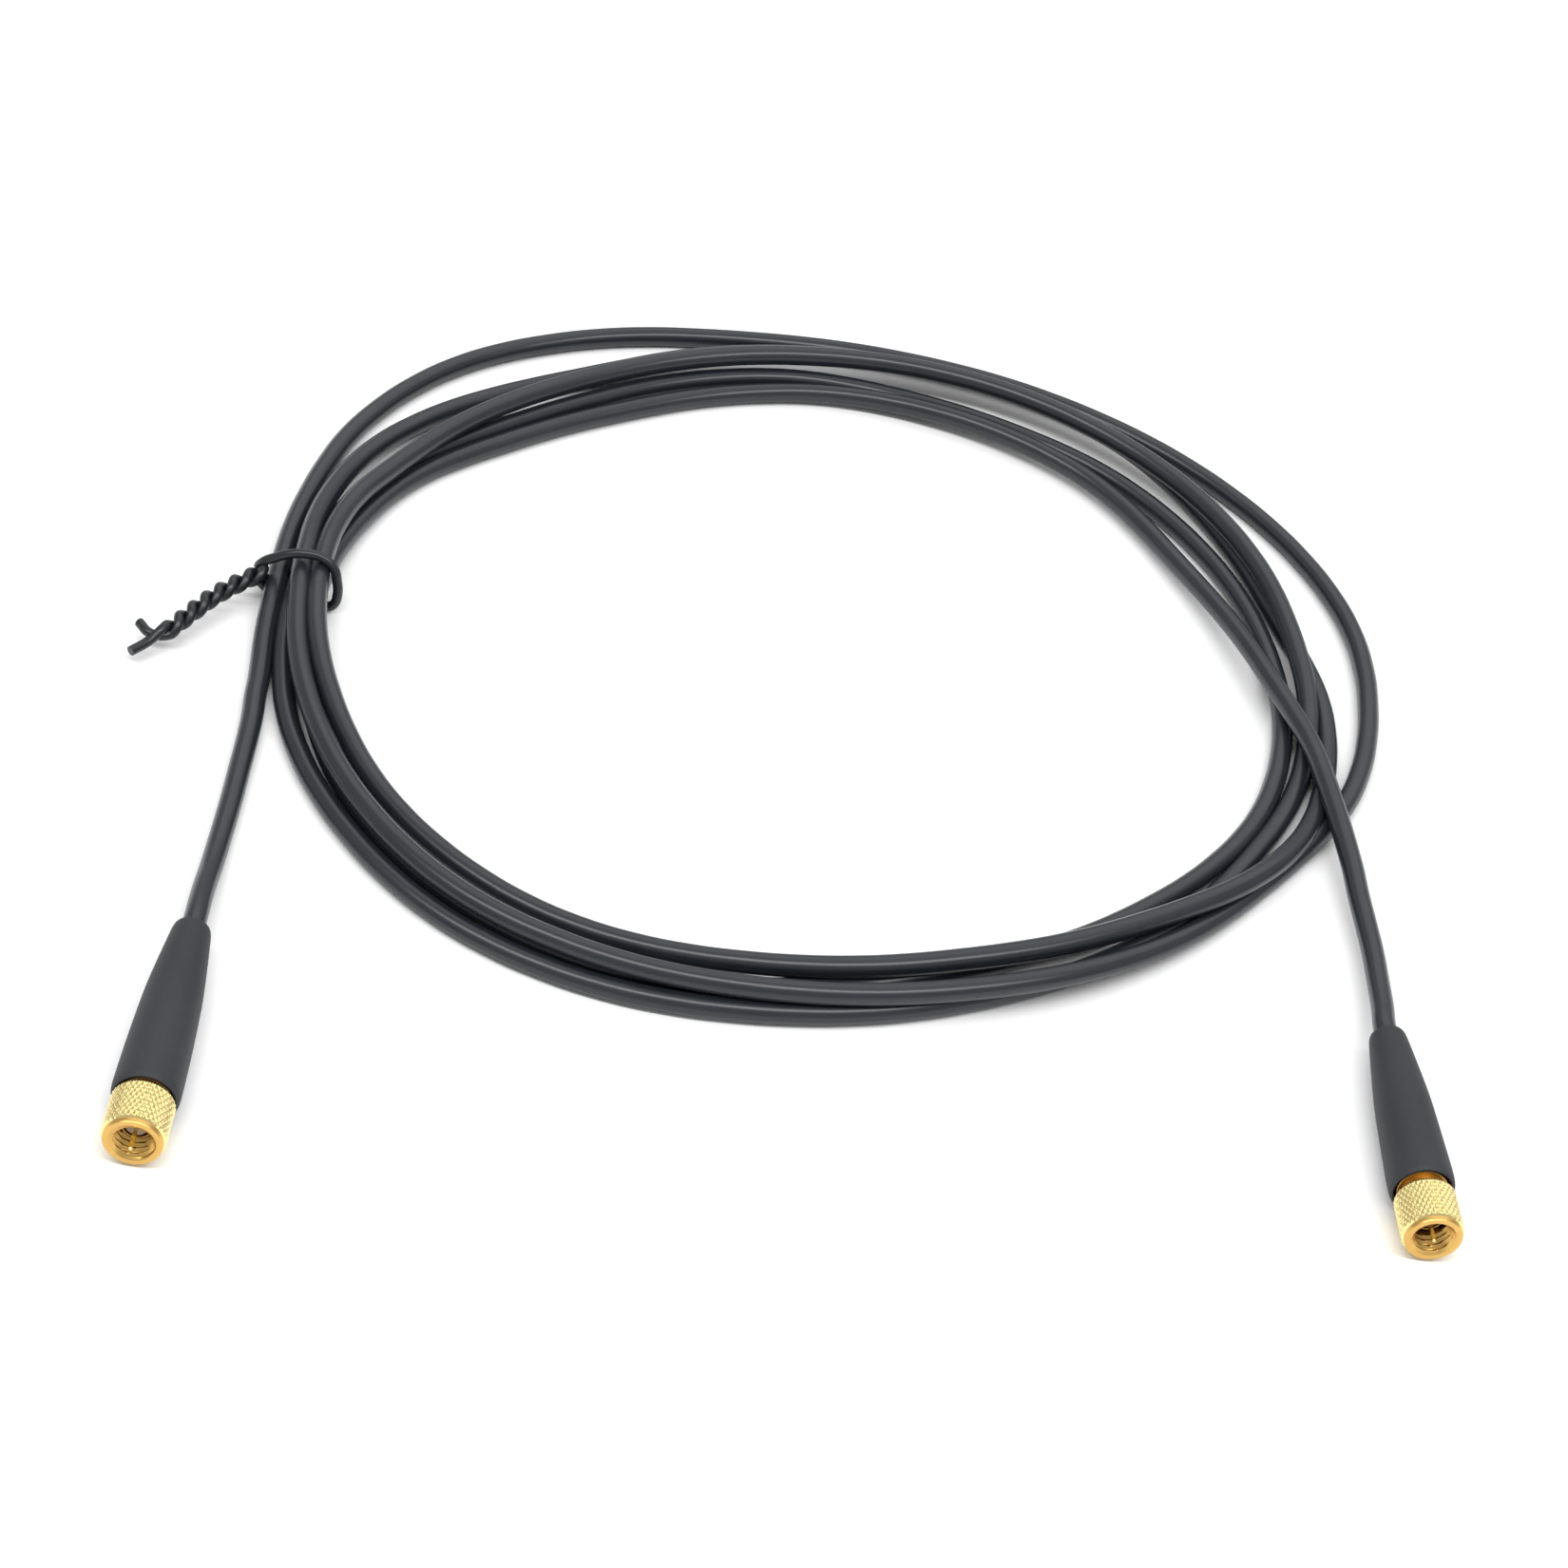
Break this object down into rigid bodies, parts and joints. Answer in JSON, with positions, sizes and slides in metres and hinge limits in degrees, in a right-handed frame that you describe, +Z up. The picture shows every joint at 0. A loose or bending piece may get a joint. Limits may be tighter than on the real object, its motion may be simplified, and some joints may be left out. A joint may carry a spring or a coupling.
{
  "type": "ultrasonic probe cable coil",
  "caption": "Thin black coaxial probe lead wound into a flat round coil, held by a wire twist tie, with a booted, gold knurled threaded plug on each end.",
  "frame": {"origin": "on the floor, below the middle of the bounding box of the coil with both plugs", "axes": "+Z up from the floor; -Y the way both plugs point, away from the coil; +X towards the right plug"},
  "size_m": [0.1706, 0.1864, 0.0078],
  "materials": {
    "jacket": "satin black PVC",
    "boot": "matt dark grey heat-shrink",
    "gold": "bright gold plating",
    "insulator": "waxy white",
    "tie": "glossy black coating"
  },
  "bodies": {
    "lead": {"cable_coil": "jacket", "cable_lead_left": "jacket", "cable_lead_right": "jacket", "twist_tie": "tie", "boot_left": "boot", "boot_right": "boot", "crimp_ferrule_left": "gold", "crimp_ferrule_right": "gold", "plug_body_left": "gold", "plug_body_right": "gold", "insulator_left": "insulator", "insulator_right": "insulator", "centre_pin_left": "gold", "centre_pin_right": "gold"},
    "nut_left": {"coupling_nut_left": "gold"},
    "nut_right": {"coupling_nut_right": "gold"}
  },
  "joints": [
    {"name": "nut_left_turn", "type": "hinge", "parent": "lead", "child": "nut_left", "pos_m": [-0.06222, -0.0922, 0.0039], "axis": [0.061, -0.9981, 0], "continuous": true},
    {"name": "nut_right_turn", "type": "hinge", "parent": "lead", "child": "nut_right", "pos_m": [0.08182, -0.06616, 0.0039], "axis": [0.1771, -0.9842, 0], "continuous": true}
  ]
}
